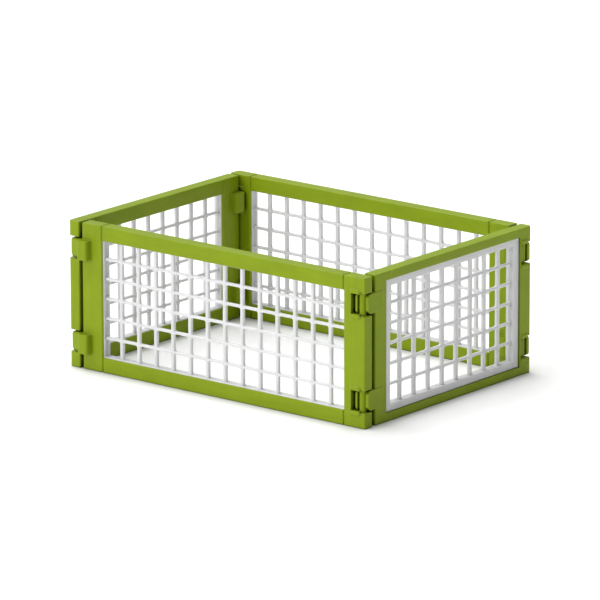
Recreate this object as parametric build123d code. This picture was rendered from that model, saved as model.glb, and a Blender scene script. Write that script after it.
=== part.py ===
from build123d import *
import os

# Clip-together miniature livestock pen: four mesh panels, each two posts, two rails and a mesh insert.
#
# Every panel carries a round pin in each end window of its pin post and a pair of open hooks on its hook
# post.  The hooks of one panel clip round the pins of the next, so the four panels close a rectangle.
#
# Frame of the part: millimetres, +Z up, origin on the ground at the middle of the whole object's box.
# X runs along the long panels, Y along the short ones, and the front panel faces -Y.
#
# Frame of one panel, used while it is made: x from the pin end to the hook end, y from the plain face
# (where the mesh insert shows its border) to the cover face (where the rails hide it), z upwards.

# ---- driving dimensions -------------------------------------------------------------------------
RING_LENGTH = 120.0         # outside, over the pin ends of the long panels
RING_WIDTH = 85.7           # outside, over the pin ends of the short panels
HEIGHT = 48.0
THICKNESS = 4.4             # of posts and rails
PIN_OFFSET = 2.4            # pin axis from the pin end of its panel
HOOK_END_GAP = 5.75         # outside of the ring to the hook post's end

PIN_POST_WIDTH = 8.4
HOOK_POST_WIDTH = 8.1
RAIL_HEIGHT = 4.85

# the mesh insert's border lies in a rebate that is open to the plain face
REBATE_RAIL = 2.1           # how far the rebate reaches into a rail
REBATE_PIN_POST = 2.45
REBATE_HOOK_POST = 2.65
REBATE_DEPTH = 3.75         # from the plain face; what is left is the cover lip
BORDER_RECESS = 0.6         # the border's face below the plain face
BORDER_LIP = 0.2            # the border shows this much inside the green opening

# mesh grid
CELL_ROWS = 6
LONG_CELL_COLUMNS = 14
SHORT_CELL_COLUMNS = 9
VERTICAL_BAR = 1.35
HORIZONTAL_BAR = 0.95
GRID_DEPTH = 1.3

# pin, its window and the open notch outboard of it
PIN_DIAMETER = 2.2
WINDOW_EDGE = 5.5           # inboard wall of the window from the pin end
WINDOW_MARGIN = 5.35        # from the top or bottom of the panel
WINDOW_HEIGHT = 6.5
NOTCH_HEIGHT = 7.4
BEAD_HEIGHT = 1.5           # small raised bead above and below each window
BEAD_PROUD = 0.35
DIMPLE_RADIUS = 0.35        # moulding mark outboard of each bead
DIMPLE_OFFSET = 1.35        # from the pin end
DIMPLE_DEPTH = 0.25

# hooks
HOOK_HEIGHT = 6.3
HOOK_REACH = 1.4            # the cover-side jaw reaches this far past the pin axis
LONG_LIP_REACH = 1.4        # the plain-side jaw of a long panel, likewise
SHORT_LIP_REACH = 0.25      # of a short panel: its pin stays open to view
LIP_CHAMFER = 1.1           # and this cuts off the short jaw's corners, seen from the side
HOOK_PLAY = 0.08            # radial clearance round the pin
HOOK_PAD = 0.12             # the hook stands this proud of the plain face
BARREL_PROUD = 2.3          # the cover-side jaw bulges this far beyond the cover face
BARREL_ROOT = 3.8           # and starts this far back on the hook post
BARREL_ROUND = 0.9
BARREL_SLOPE = 0.4          # how much the bulge's two sides lean in
JAW_THIN = 0.15             # the cover-side jaw's tip below the cover face
JAW_ROUND = 1.0             # tip corners seen from the side
TIP_ROUND = 0.45            # tip corners seen from above
NEIGHBOUR_GAP = 0.28        # bulge and jaw to the next panel's pin post

# roundings
END_ROUND = 1.3             # pin end's edge on the plain face
EDGE_ROUND = 0.4
RIM_ROUND = 0.3             # top and bottom edges
SEAM_CHAMFER = 0.38
TENON_LENGTH = 3.0
TENON_HEIGHT = 1.4
TENON_DEPTH = 2.0
TENON_FLOOR = 0.8           # below the tenon, from the rail's outside edge

# ---- places that follow -------------------------------------------------------------------------
MID = THICKNESS / 2                             # pins and mesh bars lie at mid thickness
FACE_INSET = PIN_OFFSET - MID                   # plain faces stand back from the pin ends
HOOK_PIN = HOOK_END_GAP - PIN_OFFSET            # pin axis beyond the hook post's end
LONG_PANEL = RING_LENGTH - HOOK_END_GAP
SHORT_PANEL = RING_WIDTH - HOOK_END_GAP
RING_SHIFT = (BARREL_PROUD - BEAD_PROUD) / 2     # hooks bulge past the front, beads past the back
EDGE_X = RING_LENGTH / 2
FRONT_Y = RING_SHIFT - RING_WIDTH / 2
BACK_Y = RING_SHIFT + RING_WIDTH / 2
WINDOW_FLOORS = (WINDOW_MARGIN, HEIGHT - WINDOW_MARGIN - WINDOW_HEIGHT)


def block(x0, x1, y0, y1, z0, z1):
    """Solid box between two corners."""
    return Pos((x0 + x1) / 2, (y0 + y1) / 2, (z0 + z1) / 2) * Box(x1 - x0, y1 - y0, z1 - z0)


def edges_at(shape, axis, x=None, y=None, z=None):
    """Straight edges along one axis whose middle lies on the given coordinates."""
    found = []
    for edge in shape.edges().filter_by(axis):
        middle = edge.center()
        wanted = ((x, middle.X), (y, middle.Y), (z, middle.Z))
        if all(goal is None or abs(goal - value) < 1e-4 for goal, value in wanted):
            found.append(edge)
    return found


def rounded_post(x0, x1, end_x, end_round):
    """Full-height post with its free end rounded and its seam edges broken."""
    seam_x = x0 if end_x == x1 else x1
    post = block(x0, x1, 0, THICKNESS, 0, HEIGHT)
    post = fillet(edges_at(post, Axis.Z, x=end_x, y=0), end_round)
    post = fillet(edges_at(post, Axis.Z, x=end_x, y=THICKNESS), EDGE_ROUND)
    rim = post.faces().sort_by(Axis.Z)
    rim_edges = rim[0].edges() + rim[-1].edges()
    post = fillet([edge for edge in rim_edges if abs(edge.center().X - seam_x) > 1e-3], RIM_ROUND)
    return post - seam_groove(seam_x, 0, HEIGHT)


def seam_groove(x, z0, z1):
    """V-shaped space along a seam on the cover face and on the two ends of the height given."""
    width = SEAM_CHAMFER * 2 ** 0.5
    groove = Pos(x, THICKNESS, (z0 + z1) / 2) * Rot(0, 0, 45) * Box(width, width, z1 - z0 + 1)
    for z in (z0, z1):
        groove += Pos(x, MID, z) * Rot(0, 45, 0) * Box(width, THICKNESS + 1, width)
    return groove


def rail_socket(x_from, x_to, top):
    """Space of one rail tenon, for cutting from a post or adding to a rail."""
    low = HEIGHT - TENON_FLOOR - TENON_HEIGHT if top else TENON_FLOOR
    y0 = MID - TENON_DEPTH / 2
    return block(x_from, x_to, y0, y0 + TENON_DEPTH, low, low + TENON_HEIGHT)


def insert_seat(length):
    """Space that the mesh insert's border takes from posts and rails of one panel."""
    x0 = PIN_POST_WIDTH - REBATE_PIN_POST
    x1 = length - HOOK_POST_WIDTH + REBATE_HOOK_POST
    z0 = RAIL_HEIGHT - REBATE_RAIL
    return block(x0, x1, -1, REBATE_DEPTH, z0, HEIGHT - z0)


def pin_post(length):
    """Post with two windows, the pin across each, and the beads above and below them."""
    post = rounded_post(0, PIN_POST_WIDTH, 0, END_ROUND)
    post -= insert_seat(length)
    for floor in WINDOW_FLOORS:
        ceiling = floor + WINDOW_HEIGHT
        notch_floor = floor - (NOTCH_HEIGHT - WINDOW_HEIGHT) / 2
        post -= block(PIN_OFFSET, WINDOW_EDGE, -1, THICKNESS + 1, floor, ceiling)
        post -= block(-1, PIN_OFFSET, -1, THICKNESS + 1, notch_floor, notch_floor + NOTCH_HEIGHT)
        post += Pos(PIN_OFFSET, MID, floor + WINDOW_HEIGHT / 2) * Cylinder(PIN_DIAMETER / 2, NOTCH_HEIGHT)
        for bead_z in (floor - BEAD_HEIGHT / 2, ceiling + BEAD_HEIGHT / 2):
            for face_y in (0, THICKNESS):
                post += bead(bead_z, face_y)
                dimple = Rot(90, 0, 0) * Cylinder(DIMPLE_RADIUS, 2 * DIMPLE_DEPTH)
                post -= Pos(DIMPLE_OFFSET, face_y, bead_z) * dimple
    for top in (False, True):
        post -= rail_socket(PIN_POST_WIDTH - TENON_LENGTH, PIN_POST_WIDTH + 1, top)
    return post


def bead(z, face_y):
    """Soft-edged pad that thickens the post beside a window."""
    x0, x1 = PIN_OFFSET - BEAD_PROUD, WINDOW_EDGE
    pad = block(x0, x1, face_y - BEAD_PROUD, face_y + BEAD_PROUD, z - BEAD_HEIGHT / 2, z + BEAD_HEIGHT / 2)
    outer_y = face_y + (BEAD_PROUD if face_y > 0 else -BEAD_PROUD)
    outer = [face for face in pad.faces() if abs(face.center().Y - outer_y) < 1e-4][0]
    return chamfer(outer.edges(), BEAD_PROUD * 0.8)


def hook(lip_reach):
    """One open hook: its plan is drawn from the hook post's end at x = 0 and then raised."""
    slot = PIN_DIAMETER / 2 + HOOK_PLAY
    tip = HOOK_PIN + HOOK_REACH
    lip = HOOK_PIN + lip_reach
    crown = THICKNESS + BARREL_PROUD
    jaw = THICKNESS - JAW_THIN
    next_wall = WINDOW_EDGE - FACE_INSET - NEIGHBOUR_GAP
    next_face = HOOK_END_GAP - FACE_INSET - THICKNESS - NEIGHBOUR_GAP
    plan = Polyline(
        (-BARREL_ROOT, -HOOK_PAD),
        (tip, -HOOK_PAD),
        (tip, jaw),
        (next_face, next_wall),
        (next_face - BARREL_SLOPE, crown),
        (BARREL_SLOPE - BARREL_ROOT, crown),
        (-BARREL_ROOT, THICKNESS),
        close=True,
    )
    solid = extrude(make_face(plan), HOOK_HEIGHT, dir=(0, 0, 1))
    for x in (next_face - BARREL_SLOPE, BARREL_SLOPE - BARREL_ROOT):
        solid = fillet(edges_at(solid, Axis.Z, x=x, y=crown), BARREL_ROUND)
    solid = fillet(edges_at(solid, Axis.Z, x=tip, y=jaw), TIP_ROUND)
    solid = fillet(edges_at(solid, Axis.Y, x=tip), JAW_ROUND)
    if lip < tip:
        solid -= block(lip, tip + 1, -1, MID, -1, HOOK_HEIGHT + 1)
        solid = chamfer(edges_at(solid, Axis.Y, x=lip), LIP_CHAMFER)
    throat = Pos(HOOK_PIN, MID, HOOK_HEIGHT / 2)
    solid -= throat * Cylinder(slot, HOOK_HEIGHT + 1)
    return solid - throat * Pos(tip / 2, 0, 0) * Box(tip, 2 * slot, HOOK_HEIGHT + 1)


def hook_post(length, lip_reach):
    """Post with two hooks standing out beyond its end."""
    x0 = length - HOOK_POST_WIDTH
    post = rounded_post(x0, length, length, EDGE_ROUND)
    post -= insert_seat(length)
    for floor in WINDOW_FLOORS:
        post += Pos(length, 0, floor + (WINDOW_HEIGHT - HOOK_HEIGHT) / 2) * hook(lip_reach)
    for top in (False, True):
        post -= rail_socket(x0 - 1, x0 + TENON_LENGTH, top)
    return post


def rail(length, top):
    """Rail between the posts, tenoned into both, rebated for the insert."""
    x0, x1 = PIN_POST_WIDTH, length - HOOK_POST_WIDTH
    z0 = HEIGHT - RAIL_HEIGHT if top else 0
    bar = block(x0, x1, 0, THICKNESS, z0, z0 + RAIL_HEIGHT)
    bar = fillet(bar.edges().filter_by(Axis.X), RIM_ROUND)
    for end_x in (x0, x1):
        bar -= seam_groove(end_x, 0, HEIGHT)
    bar -= insert_seat(length)
    bar += rail_socket(x0 - TENON_LENGTH, x0, top)
    bar += rail_socket(x1, x1 + TENON_LENGTH, top)
    return bar


def mesh_insert(length, columns):
    """White insert: a border that sits in the rebate and a grid of bars across it."""
    seat = insert_seat(length).bounding_box()
    x0, x1 = PIN_POST_WIDTH + BORDER_LIP, length - HOOK_POST_WIDTH - BORDER_LIP
    z0, z1 = RAIL_HEIGHT + BORDER_LIP, HEIGHT - RAIL_HEIGHT - BORDER_LIP
    insert = block(seat.min.X, seat.max.X, BORDER_RECESS, REBATE_DEPTH, seat.min.Z, seat.max.Z)
    insert -= block(x0, x1, -1, THICKNESS, z0, z1)
    y0, y1 = MID - GRID_DEPTH / 2, MID + GRID_DEPTH / 2
    for column in range(1, columns):
        x = x0 - VERTICAL_BAR + (x1 - x0 + VERTICAL_BAR) * column / columns
        insert += block(x, x + VERTICAL_BAR, y0, y1, z0 - 0.5, z1 + 0.5)
    for row in range(1, CELL_ROWS):
        z = z0 - HORIZONTAL_BAR + (z1 - z0 + HORIZONTAL_BAR) * row / CELL_ROWS
        insert += block(x0 - 0.5, x1 + 0.5, y0, y1, z, z + HORIZONTAL_BAR)
    return insert


# ---- where each panel stands --------------------------------------------------------------------
# The front panel is clipped on upside down against the other three, so its cover face looks outwards.
SEATS = {
    "front": Plane(origin=(EDGE_X, FRONT_Y + FACE_INSET + THICKNESS, 0), x_dir=(-1, 0, 0), z_dir=(0, 0, 1)),
    "right": Plane(origin=(EDGE_X - FACE_INSET, BACK_Y, HEIGHT), x_dir=(0, -1, 0), z_dir=(0, 0, -1)),
    "back": Plane(origin=(-EDGE_X, BACK_Y - FACE_INSET, HEIGHT), x_dir=(1, 0, 0), z_dir=(0, 0, -1)),
    "left": Plane(origin=(FACE_INSET - EDGE_X, FRONT_Y, HEIGHT), x_dir=(0, 1, 0), z_dir=(0, 0, -1)),
}
SIZES = {
    "front": (LONG_PANEL, LONG_CELL_COLUMNS, LONG_LIP_REACH),
    "right": (SHORT_PANEL, SHORT_CELL_COLUMNS, SHORT_LIP_REACH),
    "back": (LONG_PANEL, LONG_CELL_COLUMNS, LONG_LIP_REACH),
    "left": (SHORT_PANEL, SHORT_CELL_COLUMNS, SHORT_LIP_REACH),
}


def panel_pieces(length, columns, lip_reach):
    """The five pieces of one panel, in the panel's own frame."""
    return {
        "pin_post": pin_post(length),
        "hook_post": hook_post(length, lip_reach),
        "lower_rail": rail(length, False),
        "upper_rail": rail(length, True),
        "mesh": mesh_insert(length, columns),
    }


def main():
    os.makedirs("parts", exist_ok=True)
    made = {}
    for side, (length, columns, lip_reach) in SIZES.items():
        if length not in made:
            made[length] = panel_pieces(length, columns, lip_reach)
        upright = SEATS[side].z_dir.Z > 0
        for name, piece in made[length].items():
            if not upright and name.endswith("rail"):
                name = "lower_rail" if name == "upper_rail" else "upper_rail"
            placed = piece.moved(SEATS[side].location)
            export_step(placed, f"parts/{side}_{name}.step")


main()
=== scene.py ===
import bmesh
import bpy
import math
from mathutils import Matrix, Vector


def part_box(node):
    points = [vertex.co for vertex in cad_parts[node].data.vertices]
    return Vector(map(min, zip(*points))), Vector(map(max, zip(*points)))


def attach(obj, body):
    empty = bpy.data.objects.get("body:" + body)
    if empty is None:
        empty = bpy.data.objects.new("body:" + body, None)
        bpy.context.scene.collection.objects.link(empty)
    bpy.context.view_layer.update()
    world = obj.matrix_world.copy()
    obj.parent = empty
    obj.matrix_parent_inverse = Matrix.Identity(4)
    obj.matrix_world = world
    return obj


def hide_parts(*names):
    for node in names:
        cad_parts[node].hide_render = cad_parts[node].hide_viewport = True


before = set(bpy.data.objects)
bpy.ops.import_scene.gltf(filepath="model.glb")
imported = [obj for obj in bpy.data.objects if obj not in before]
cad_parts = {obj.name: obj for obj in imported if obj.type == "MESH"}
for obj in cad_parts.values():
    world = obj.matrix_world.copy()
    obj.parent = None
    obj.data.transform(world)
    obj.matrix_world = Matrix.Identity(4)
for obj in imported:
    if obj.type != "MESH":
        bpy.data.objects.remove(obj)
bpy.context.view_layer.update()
MM = 0.001


# ---- camera ---------------------------------------------------------------------------------------
# A long lens well back from the pen and a little above it, looking at the near corner between the
# front and the right-hand panel, as a catalogue picture of a toy is taken.
CAMERA_AZIMUTH = math.radians(38.91)        # round from -Y towards +X
CAMERA_ELEVATION = math.radians(14.80)
CAMERA_ROLL = math.radians(-0.11)
CAMERA_DISTANCE = 2.014
LENS_MM = 380.5
SENSOR_MM = 36
FARTHEST_SEEN = 20
LOOK_AT = Vector((0.4, 0.6, 22.8)) * MM

towards_camera = Vector((math.sin(CAMERA_AZIMUTH) * math.cos(CAMERA_ELEVATION),
                         -math.cos(CAMERA_AZIMUTH) * math.cos(CAMERA_ELEVATION),
                         math.sin(CAMERA_ELEVATION)))
camera_data = bpy.data.cameras.new("product_camera")
camera_data.lens = LENS_MM
camera_data.sensor_width = SENSOR_MM
camera_data.clip_end = FARTHEST_SEEN
camera = bpy.data.objects.new("product_camera", camera_data)
bpy.context.scene.collection.objects.link(camera)
camera.location = LOOK_AT + towards_camera * CAMERA_DISTANCE
camera.rotation_euler = towards_camera.to_track_quat("Z", "Y").to_euler()
camera.rotation_euler.rotate_axis("Z", CAMERA_ROLL)
bpy.context.scene.camera = camera
bpy.context.scene.view_settings.view_transform = "Standard"


# ---- pin posts ------------------------------------------------------------------------------------
# The post at one end of each panel, with a round pin moulded across its two windows.  Green
# polypropylene from a satin-etched mould, pressed onto the rails' tenons; seams show as fine grooves.
PIN_POST_LEAF = "7c9002"
# the paler green painted on the edges as a highlight
PIN_POST_HIGHLIGHT = "9eb046"
POST_CLOUD_MM = 9.0             # slow drift of the pigment
POST_FLOW_MM = 1.6              # flow marks across the way the melt ran
POST_FLOW_STRETCH = 7.0         # and how much longer they are along it
POST_FLOW_SHARE = 0.45          # of the flow marks in the colour's variation, the rest is cloud
POST_MOTTLE = (0.35, 0.65)      # the mixed noise between these values becomes
POST_SHADE = (0.93, 1.06)       # this range of brightness
ETCH_GRAIN_MM = 0.55            # the mould's etch is finer; drawn this coarse so that it shows
ETCH_DEPTH_MM = 0.03
ETCH_STRENGTH = 0.35
POST_GLOSS = (0.40, 0.52)       # roughness over the etch
NOISE_SPREAD = (0.3, 0.7)       # where most of a noise texture's values lie
EDGE_HIGHLIGHT_MM = 0.32             # painted highlight along the edges, this wide
EDGE_LEAN = (0.99, 0.80)        # a bevelled normal this far from the true one is an edge
EDGE_HIGHLIGHT_MIX = (0.0, 0.75)
CREVICE_MM = 2.2                # painted shade darkens the colour in gaps narrower than this
CREVICE_OPEN = (0.15, 0.60)     # how open a point has to be to stay dark, and to be fully lit
CREVICE_LIGHT = (0.06, 1.0)
PLASTIC_IOR = 1.49
PLASTIC_SPECULAR = 0.2


def linear_colour(hex_code):
    """A linear RGBA colour from an sRGB hex code."""
    channels = [int(hex_code[i:i + 2], 16) / 255 for i in (0, 2, 4)]
    linear = [c / 12.92 if c <= 0.04045 else ((c + 0.055) / 1.055) ** 2.4 for c in channels]
    return (*linear, 1.0)


def add_node(tree, kind, inputs=None, **settings):
    """One node with its settings; an input is a plain value or another node's output socket."""
    node = tree.nodes.new(kind)
    for name, value in settings.items():
        setattr(node, name, value)
    for key, value in (inputs or {}).items():
        if isinstance(value, bpy.types.NodeSocket):
            tree.links.new(value, node.inputs[key])
        else:
            node.inputs[key].default_value = value
    return node


def remap(tree, value, source, target):
    """A value carried from one range to another, and held at its ends."""
    node = add_node(tree, "ShaderNodeMapRange",
                    {"Value": value, "From Min": source[0], "From Max": source[1],
                     "To Min": target[0], "To Max": target[1]})
    return node.outputs["Result"]


def satin_green_polypropylene(name, body_hex, highlight_hex, along):
    """Satin moulded polypropylene: even colour, faint flow marks, soft broad gloss, a painted highlight on
    the edges and painted shade in narrow gaps.
    """
    material = bpy.data.materials.new(name)
    material.use_nodes = True
    tree = material.node_tree
    shader = tree.nodes["Principled BSDF"]
    place = add_node(tree, "ShaderNodeTexCoord").outputs["Object"]

    cloud = add_node(tree, "ShaderNodeTexNoise",
                     {"Vector": place, "Scale": 1 / (POST_CLOUD_MM * MM), "Detail": 2.0})
    squeeze = [1 / POST_FLOW_STRETCH if axis == along else 1.0 for axis in "XYZ"]
    drawn_out = add_node(tree, "ShaderNodeMapping", {"Vector": place, "Scale": squeeze})
    flow = add_node(tree, "ShaderNodeTexNoise",
                    {"Vector": drawn_out.outputs["Vector"], "Scale": 1 / (POST_FLOW_MM * MM), "Detail": 3.0})
    mottle = add_node(tree, "ShaderNodeMix",
                      {0: POST_FLOW_SHARE, 2: cloud.outputs["Fac"], 3: flow.outputs["Fac"]})
    level = remap(tree, mottle.outputs[0], POST_MOTTLE, POST_SHADE)

    # the bevel normal leaves the true one only near an edge, so their difference marks the edges, where a
    # paler green is painted as a highlight
    softened = add_node(tree, "ShaderNodeBevel", {"Radius": EDGE_HIGHLIGHT_MM * MM}, samples=6)
    true_normal = add_node(tree, "ShaderNodeNewGeometry").outputs["Normal"]
    agreement = add_node(tree, "ShaderNodeVectorMath", operation="DOT_PRODUCT")
    tree.links.new(softened.outputs["Normal"], agreement.inputs[0])
    tree.links.new(true_normal, agreement.inputs[1])
    edge = remap(tree, agreement.outputs["Value"], EDGE_LEAN, EDGE_HIGHLIGHT_MIX)

    # painted shade: ambient occlusion darkens the colour in narrow gaps, windows and between parts
    crevice = add_node(tree, "ShaderNodeAmbientOcclusion", {"Distance": CREVICE_MM * MM}, samples=8)
    lit = remap(tree, crevice.outputs["AO"], CREVICE_OPEN, CREVICE_LIGHT)
    value = add_node(tree, "ShaderNodeMath", {0: level, 1: lit}, operation="MULTIPLY")
    body = add_node(tree, "ShaderNodeHueSaturation",
                    {"Color": linear_colour(body_hex), "Value": value.outputs["Value"]})
    # painted highlight: the paler green laid over the edges
    colour = add_node(tree, "ShaderNodeMix",
                      {"Factor": edge, 6: body.outputs["Color"], 7: linear_colour(highlight_hex)},
                      data_type="RGBA")
    tree.links.new(colour.outputs[2], shader.inputs["Base Color"])

    etch = add_node(tree, "ShaderNodeTexNoise",
                    {"Vector": place, "Scale": 1 / (ETCH_GRAIN_MM * MM), "Detail": 2.0, "Roughness": 0.6})
    tree.links.new(remap(tree, etch.outputs["Fac"], NOISE_SPREAD, POST_GLOSS), shader.inputs["Roughness"])
    bump = add_node(tree, "ShaderNodeBump",
                    {"Strength": ETCH_STRENGTH, "Distance": ETCH_DEPTH_MM * MM, "Height": etch.outputs["Fac"],
                     "Normal": softened.outputs["Normal"]})
    tree.links.new(bump.outputs["Normal"], shader.inputs["Normal"])
    shader.inputs["IOR"].default_value = PLASTIC_IOR
    shader.inputs["Specular IOR Level"].default_value = PLASTIC_SPECULAR
    return material


post_green = satin_green_polypropylene("green_polypropylene_post", PIN_POST_LEAF, PIN_POST_HIGHLIGHT, "Z")
SIDES = ("front", "right", "back", "left")
for side in SIDES:
    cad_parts[f"{side}_pin_post"].data.materials.clear()
    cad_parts[f"{side}_pin_post"].data.materials.append(post_green)


# ---- hook posts -----------------------------------------------------------------------------------
# The post at the other end, with two open hooks that snap round the next panel's pins.  The same
# green polypropylene in the same etched mould; each hook's outer jaw swells into a rounded barrel.
for side in SIDES:
    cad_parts[f"{side}_hook_post"].data.materials.clear()
    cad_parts[f"{side}_hook_post"].data.materials.append(post_green)


# ---- rails ----------------------------------------------------------------------------------------
# Upper and lower bars between the posts, rebated behind for the mesh.  The same polypropylene, with
# its flow marks running lengthways because the melt filled each rail from one end.
rail_green = {
    "X": satin_green_polypropylene("green_polypropylene_long_rail", PIN_POST_LEAF, PIN_POST_HIGHLIGHT, "X"),
    "Y": satin_green_polypropylene("green_polypropylene_short_rail", PIN_POST_LEAF, PIN_POST_HIGHLIGHT, "Y"),
}
for side in SIDES:
    along = "X" if side in ("front", "back") else "Y"
    for level in ("lower", "upper"):
        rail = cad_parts[f"{side}_{level}_rail"]
        rail.data.materials.clear()
        rail.data.materials.append(rail_green[along])


# ---- mesh inserts ---------------------------------------------------------------------------------
# One white moulded net per panel: a flat border snapped into the frame's rebate and a grid of thin
# bars across it, all one shot of polypropylene, so every cell has small fillets in its corners.
INSERT_WHITE = "cfcfd0"
INSERT_CLOUD_MM = 6.0
INSERT_SHADE = (0.95, 1.02)
INSERT_GLOW = 1.5 * MM          # how far light spreads inside the thin bars
INSERT_GLOW_WEIGHT = 0.4
INSERT_GRAIN_MM = 0.5           # mould texture, drawn coarser than it is so that it shows
INSERT_GRAIN_DEPTH_MM = 0.03
INSERT_GRAIN_STRENGTH = 0.25
INSERT_GLOSS = (0.42, 0.55)
CELL_ROWS = 6
CELL_COLUMNS = {"front": 14, "right": 9, "back": 14, "left": 9}
VERTICAL_BAR = 1.35 * MM
HORIZONTAL_BAR = 0.95 * MM
GRID_DEPTH = 1.3 * MM
GRID_MIDDLE = 1.6 * MM          # behind the border's open face
BORDER_LIP = 0.2 * MM           # the border shows this much inside the green opening
CELL_FILLET = 0.55 * MM
BAR_ROUND = 0.45 * MM
BORDER_ROUND = 0.22 * MM
WALL_COVER = 0.04 * MM          # the border's wall stands this far inside the outer cells' edges
FILLET_STEPS = 3
WELD = 0.01 * MM
PLAIN_SIDE = {"front": "+Y", "right": "+X", "back": "+Y", "left": "-X"}


def satin_white_polypropylene():
    """White polypropylene net: nearly even, a soft sheen and a faint moulded grain."""
    material = bpy.data.materials.new("white_polypropylene_net")
    material.use_nodes = True
    tree = material.node_tree
    shader = tree.nodes["Principled BSDF"]
    place = add_node(tree, "ShaderNodeTexCoord").outputs["Object"]
    cloud = add_node(tree, "ShaderNodeTexNoise",
                     {"Vector": place, "Scale": 1 / (INSERT_CLOUD_MM * MM), "Detail": 3.0})
    level = remap(tree, cloud.outputs["Fac"], NOISE_SPREAD, INSERT_SHADE)
    body = add_node(tree, "ShaderNodeHueSaturation", {"Color": linear_colour(INSERT_WHITE), "Value": level})
    tree.links.new(body.outputs["Color"], shader.inputs["Base Color"])
    grain = add_node(tree, "ShaderNodeTexNoise",
                     {"Vector": place, "Scale": 1 / (INSERT_GRAIN_MM * MM), "Detail": 2.0})
    tree.links.new(remap(tree, grain.outputs["Fac"], NOISE_SPREAD, INSERT_GLOSS), shader.inputs["Roughness"])
    bump = add_node(tree, "ShaderNodeBump",
                    {"Strength": INSERT_GRAIN_STRENGTH, "Distance": INSERT_GRAIN_DEPTH_MM * MM,
                     "Height": grain.outputs["Fac"]})
    tree.links.new(bump.outputs["Normal"], shader.inputs["Normal"])
    shader.inputs["IOR"].default_value = PLASTIC_IOR
    shader.inputs["Subsurface Weight"].default_value = INSERT_GLOW_WEIGHT
    shader.inputs["Subsurface Radius"].default_value = (1.0, 1.0, 1.0)
    shader.inputs["Subsurface Scale"].default_value = INSERT_GLOW
    return material


def rounded_outline(half_width, half_height, radius):
    """Corner by corner, the points round a rectangle with filleted corners, anticlockwise."""
    points = []
    for corner, (sx, sz) in enumerate(((1, 1), (-1, 1), (-1, -1), (1, -1))):
        centre = Vector((sx * (half_width - radius), sz * (half_height - radius)))
        for step in range(FILLET_STEPS + 1):
            turn = math.radians(90) * (corner + step / FILLET_STEPS)
            points.append(centre + radius * Vector((math.cos(turn), math.sin(turn))))
    return points


def cell_tile(pitch_x, pitch_z):
    """One cell of the net: a filleted hole with rounded bar edges, open along its outer rim."""
    half = GRID_DEPTH / 2
    half_width, half_height = (pitch_x - VERTICAL_BAR) / 2, (pitch_z - HORIZONTAL_BAR) / 2
    section = []                # how far the hole's wall has opened out, and at what depth
    for side in (-1, 1):
        quarter = [math.radians(90) * step / FILLET_STEPS for step in range(FILLET_STEPS + 1)]
        arc = [(BAR_ROUND * (1 - math.cos(a)), side * (half - BAR_ROUND + BAR_ROUND * math.sin(a)))
               for a in quarter]
        section += arc[::-1] if side < 0 else arc
    verts, faces = [], []
    ring = 4 * (FILLET_STEPS + 1)
    for opened, depth in section:
        outline = rounded_outline(half_width + opened, half_height + opened, CELL_FILLET + opened)
        verts += [(p.x, depth, p.y) for p in outline]
    for band in range(len(section) - 1):
        for i in range(ring):
            j = (i + 1) % ring
            low, high = band * ring, (band + 1) * ring
            faces.append((low + i, low + j, high + j, high + i))
    for band, depth in ((0, -half), (len(section) - 1, half)):
        start = len(verts)
        outline = [Vector((verts[band * ring + i][0], verts[band * ring + i][2])) for i in range(ring)]
        for i, point in enumerate(outline):
            sx, sz = math.copysign(pitch_x / 2, point.x), math.copysign(pitch_z / 2, point.y)
            step = i % (FILLET_STEPS + 1)
            at_side = (step == 0) == (sx * sz > 0)
            if 0 < step < FILLET_STEPS:
                rim = (sx, sz)
            else:
                rim = (sx, point.y) if at_side else (point.x, sz)
            verts.append((rim[0], depth, rim[1]))
        for i in range(ring):
            j = (i + 1) % ring
            face = (band * ring + i, start + i, start + j, band * ring + j)
            faces.append(face[::-1] if depth > 0 else face)
    mesh = bpy.data.meshes.new("cell_tile")
    mesh.from_pydata(verts, [], faces)
    return bpy.data.objects.new("cell_tile", mesh)


def border_frame(low, high, opening_low, opening_high, depth):
    """The flat border: a rectangular ring whose section is a box with softened edges."""
    section = []                # share of the way from the opening to the outside, inset, depth
    for outside, y in ((0, 0), (1, 0), (1, depth), (0, depth)):
        toward_y = BORDER_ROUND if y == 0 else -BORDER_ROUND
        flat = (outside, BORDER_ROUND, y)
        wall = (outside, 0.0, y + toward_y)
        section += [wall, flat] if (outside == 0) == (y == 0) else [flat, wall]
    verts, faces = [], []
    for outside, inset, y in section:
        grow = -inset if outside else inset
        a, b = (low, high) if outside else (opening_low, opening_high)
        x0, x1, z0, z1 = a.x - grow, b.x + grow, a.y - grow, b.y + grow
        verts += [(x0, y, z0), (x1, y, z0), (x1, y, z1), (x0, y, z1)]
    rings = len(section)
    for band in range(rings):
        for i in range(4):
            j = (i + 1) % 4
            here, there = band * 4, (band + 1) % rings * 4
            faces.append((here + i, there + i, there + j, here + j))
    mesh = bpy.data.meshes.new("border_frame")
    mesh.from_pydata(verts, [], faces)
    return mesh


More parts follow.
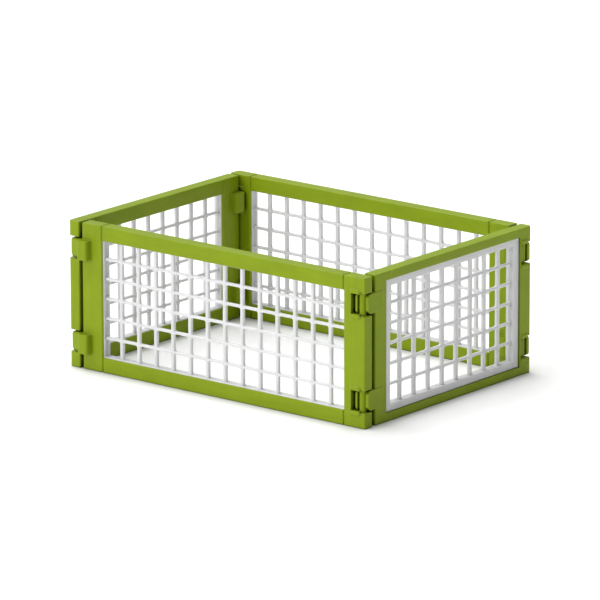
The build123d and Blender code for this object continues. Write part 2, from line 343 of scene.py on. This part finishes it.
def net_tree():
    """Geometry Nodes: lays the cell tile on a grid of points, welds it and joins it to the border."""
    tree = bpy.data.node_groups.new("moulded_net", "GeometryNodeTree")
    for name, kind in (("Border", "NodeSocketGeometry"), ("Cell", "NodeSocketObject"),
                       ("Columns", "NodeSocketInt"), ("Rows", "NodeSocketInt"),
                       ("Span X", "NodeSocketFloat"), ("Span Z", "NodeSocketFloat"),
                       ("Centre", "NodeSocketVector"), ("Plastic", "NodeSocketMaterial")):
        tree.interface.new_socket(name, in_out="INPUT", socket_type=kind)
    tree.interface.new_socket("Net", in_out="OUTPUT", socket_type="NodeSocketGeometry")
    given = add_node(tree, "NodeGroupInput").outputs
    grid = add_node(tree, "GeometryNodeMeshGrid",
                    {"Size X": given["Span X"], "Size Y": given["Span Z"],
                     "Vertices X": given["Columns"], "Vertices Y": given["Rows"]})
    upright = add_node(tree, "GeometryNodeTransform",
                       {"Geometry": grid.outputs["Mesh"], "Translation": given["Centre"],
                        "Rotation": (math.radians(90), 0, 0)})
    cell = add_node(tree, "GeometryNodeObjectInfo", {"Object": given["Cell"]})
    tiles = add_node(tree, "GeometryNodeInstanceOnPoints",
                     {"Points": upright.outputs["Geometry"], "Instance": cell.outputs["Geometry"]})
    solid = add_node(tree, "GeometryNodeRealizeInstances", {"Geometry": tiles.outputs["Instances"]})
    welded = add_node(tree, "GeometryNodeMergeByDistance",
                      {"Geometry": solid.outputs["Geometry"], "Distance": WELD})
    joined = add_node(tree, "GeometryNodeJoinGeometry")
    tree.links.new(given["Border"], joined.inputs["Geometry"])
    tree.links.new(welded.outputs["Geometry"], joined.inputs["Geometry"])
    coloured = add_node(tree, "GeometryNodeSetMaterial",
                        {"Geometry": joined.outputs["Geometry"], "Material": given["Plastic"]})
    add_node(tree, "NodeGroupOutput", {"Net": coloured.outputs["Geometry"]})
    return tree


def panel_axes(side):
    """Turn from a panel's own frame (x along it, y away from the plain side, z up) to the pen's."""
    plain = {"+Y": Vector((0, 1, 0)), "+X": Vector((1, 0, 0)), "-X": Vector((-1, 0, 0))}[PLAIN_SIDE[side]]
    inward, up = -plain, Vector((0, 0, 1))
    return Matrix((inward.cross(up), inward, up)).transposed()


def span(node, turn):
    """A CAD node's box in a panel's own frame, as its lowest and highest corner."""
    corners = [turn.transposed() @ Vector(corner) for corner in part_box(node)]
    return (Vector([min(c[i] for c in corners) for i in range(3)]),
            Vector([max(c[i] for c in corners) for i in range(3)]))


white_net = satin_white_polypropylene()
net_group = net_tree()
net_inputs = {item.name: item.identifier for item in net_group.interface.items_tree if item.in_out == "INPUT"}
for side in SIDES:
    turn = panel_axes(side)
    low, high = span(f"{side}_mesh", turn)
    posts = sorted((span(f"{side}_{kind}_post", turn) for kind in ("pin", "hook")), key=lambda box: box[0].x)
    lower_rail, upper_rail = span(f"{side}_lower_rail", turn), span(f"{side}_upper_rail", turn)
    opening_low = Vector((posts[0][1].x, lower_rail[1].z)) + Vector((BORDER_LIP, BORDER_LIP))
    opening_high = Vector((posts[1][0].x, upper_rail[0].z)) - Vector((BORDER_LIP, BORDER_LIP))
    columns = CELL_COLUMNS[side]
    pitch_x = (opening_high.x - opening_low.x + VERTICAL_BAR) / columns
    pitch_z = (opening_high.y - opening_low.y + HORIZONTAL_BAR) / CELL_ROWS
    cell = cell_tile(pitch_x, pitch_z)

    cover = Vector((WALL_COVER, WALL_COVER))
    border = border_frame(low.xz, high.xz, opening_low + cover, opening_high - cover, high.y - low.y)
    pattern = bpy.data.objects.new(f"{side}_net_pattern", border)
    bpy.context.scene.collection.objects.link(pattern)
    net = pattern.modifiers.new("moulded_net", "NODES")
    net.node_group = net_group
    net[net_inputs["Cell"]] = cell
    net[net_inputs["Columns"]] = columns
    net[net_inputs["Rows"]] = CELL_ROWS
    net[net_inputs["Span X"]] = pitch_x * (columns - 1)
    net[net_inputs["Span Z"]] = pitch_z * (CELL_ROWS - 1)
    centre = (opening_low + opening_high) / 2
    net[net_inputs["Centre"]] = (centre.x, GRID_MIDDLE, centre.y)
    net[net_inputs["Plastic"]] = white_net
    bpy.context.view_layer.update()
    made = bpy.data.meshes.new_from_object(pattern.evaluated_get(bpy.context.evaluated_depsgraph_get()))
    bpy.data.objects.remove(pattern)
    bpy.data.objects.remove(cell)

    # the welded cells are open round the outside, inside the border's thickness: close that rim
    shell = bmesh.new()
    shell.from_mesh(made)
    bmesh.ops.bridge_loops(shell, edges=[edge for edge in shell.edges if edge.is_boundary])
    bmesh.ops.recalc_face_normals(shell, faces=shell.faces)
    shell.to_mesh(made)
    shell.free()

    made.name = f"{side}_net"
    made.transform(Matrix.Translation((0, low.y, 0)))
    made.transform(turn.to_4x4())
    piece = bpy.data.objects.new(f"{side}_net", made)
    bpy.context.scene.collection.objects.link(piece)
    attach(piece, f"{side}_panel")
    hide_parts(f"{side}_mesh")


# ---- studio ---------------------------------------------------------------------------------------
# A white table under one wide soft light, high up on the left, and a broad weaker one in front: top
# faces are palest, the front next, and the right-hand panel is the darkest.
FLOOR_WHITE = "f6f6f6"
FILL_STRENGTH = 0.32
CONTACT_MM = 5.0                # painted contact shadow darkens the table this near to the pen
CONTACT_OPEN = (0.45, 0.95)
CONTACT_LIGHT = (0.72, 1.0)
TABLE_SIZE = 8
TABLE_ROUGHNESS = 0.9
TABLE_SPECULAR = 0.1
SOFT_LIGHTS = {                 # strength, spread, where it comes from
    "overhead_light": (3.45, math.radians(80), Vector((-0.45, 0.10, 0.88))),
    "front_light": (1.5, math.radians(40), Vector((-0.25, -0.92, 0.30))),
}

bpy.ops.mesh.primitive_plane_add(size=TABLE_SIZE)
floor = bpy.context.object
floor.name = "studio_table"
table_white = bpy.data.materials.new("matt_table_white")
table_white.use_nodes = True
paper = table_white.node_tree.nodes["Principled BSDF"]
paper_tree = table_white.node_tree
# painted shadow: ambient occlusion darkens the table's white close to the pen
painted_contact_shadow = add_node(paper_tree, "ShaderNodeAmbientOcclusion", {"Distance": CONTACT_MM * MM}, samples=8)
paper_white = add_node(paper_tree, "ShaderNodeHueSaturation",
                       {"Color": linear_colour(FLOOR_WHITE),
                        "Value": remap(paper_tree, painted_contact_shadow.outputs["AO"], CONTACT_OPEN, CONTACT_LIGHT)})
paper_tree.links.new(paper_white.outputs["Color"], paper.inputs["Base Color"])
paper.inputs["Roughness"].default_value = TABLE_ROUGHNESS
paper.inputs["Specular IOR Level"].default_value = TABLE_SPECULAR
floor.data.materials.append(table_white)

fill = bpy.data.worlds.new("even_fill")
fill.use_nodes = True
fill.node_tree.nodes["Background"].inputs["Color"].default_value = (1, 1, 1, 1)
fill.node_tree.nodes["Background"].inputs["Strength"].default_value = FILL_STRENGTH
bpy.context.scene.world = fill

for name, (strength, spread, origin) in SOFT_LIGHTS.items():
    light = bpy.data.objects.new(name, bpy.data.lights.new(name, "SUN"))
    light.data.energy = strength
    light.data.angle = spread
    light.rotation_euler = origin.to_track_quat("Z", "Y").to_euler()
    bpy.context.scene.collection.objects.link(light)
